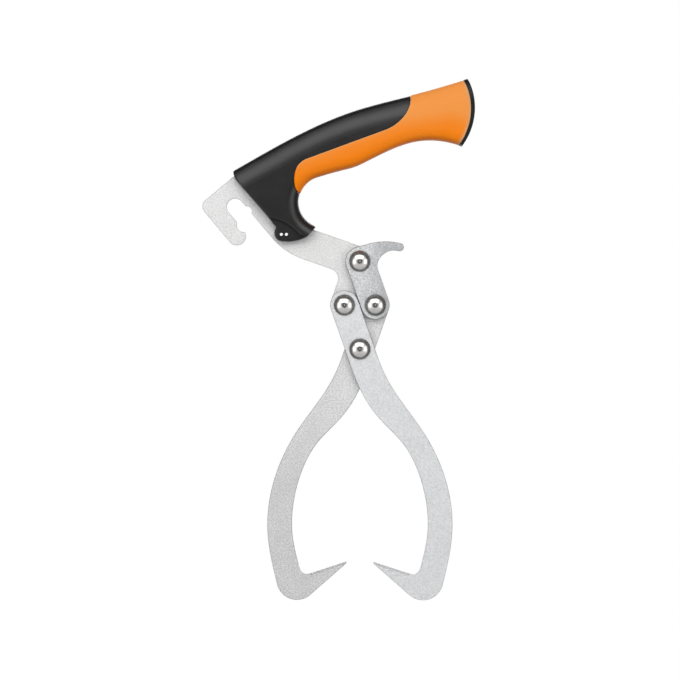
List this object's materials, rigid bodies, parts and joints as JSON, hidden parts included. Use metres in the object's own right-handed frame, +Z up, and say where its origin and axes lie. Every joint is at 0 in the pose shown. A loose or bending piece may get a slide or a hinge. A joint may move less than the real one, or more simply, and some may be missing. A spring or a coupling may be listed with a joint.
{
  "type": "log tongs",
  "caption": "Hand-held log tongs: pistol grip over a flat tang plate, hooked hanging end, trigger link with finger horn and crossed steel jaws on dome-head rivets.",
  "frame": {"origin": "middle of the hand's span on the grip, in the mid-plane of the tang plate", "axes": "+X towards the butt of the grip, +Z up with the jaws hanging down, the dome heads face -Y"},
  "size_m": [0.1944, 0.0316, 0.372],
  "materials": {
    "blasted_steel": "blasted, fine grained, matt",
    "link_steel": "blasted, coarser grained, matt",
    "jaw_steel": "blasted, fine grained, matt",
    "polished_rivet": "polished dome",
    "washer_steel": "bright zinc",
    "black_moulding": "satin, finely textured",
    "orange_soft": "matt soft-touch"
  },
  "bodies": {
    "handle": {"tang_plate": "blasted_steel", "handle_core": "black_moulding", "soft_grip": "orange_soft", "butt_cap": "black_moulding", "top_rivet": "polished_rivet", "left_rivet": "polished_rivet", "top_washer": "washer_steel", "left_washer": "washer_steel", "top_tail_washer": "washer_steel", "left_tail_washer": "washer_steel"},
    "link": {"trigger_link": "link_steel", "right_rivet": "polished_rivet", "right_washer": "washer_steel", "right_tail_washer": "washer_steel"},
    "right_jaw": {"right_jaw": "jaw_steel"},
    "left_jaw": {"left_jaw": "jaw_steel", "bottom_rivet": "polished_rivet", "bottom_washer": "washer_steel", "bottom_tail_washer": "washer_steel"}
  },
  "joints": [
    {"name": "trigger_swing", "type": "hinge", "parent": "handle", "child": "link", "pos_m": [-0.0087, 0, -0.091], "axis": [0, -1, 0], "range_deg": [0, 80]},
    {"name": "right_jaw_swing", "type": "hinge", "parent": "handle", "child": "right_jaw", "pos_m": [-0.01973, 0, -0.12232], "axis": [0, -1, 0], "range_deg": [0, 80]},
    {"name": "left_jaw_swing", "type": "hinge", "parent": "link", "child": "left_jaw", "pos_m": [0.00233, 0, -0.12232], "axis": [0, -1, 0], "range_deg": [-80, 0]}
  ],
  "couplings": [
    {"joint": "right_jaw_swing", "follows": "trigger_swing", "ratio": 1},
    {"joint": "left_jaw_swing", "follows": "trigger_swing", "ratio": -1}
  ]
}
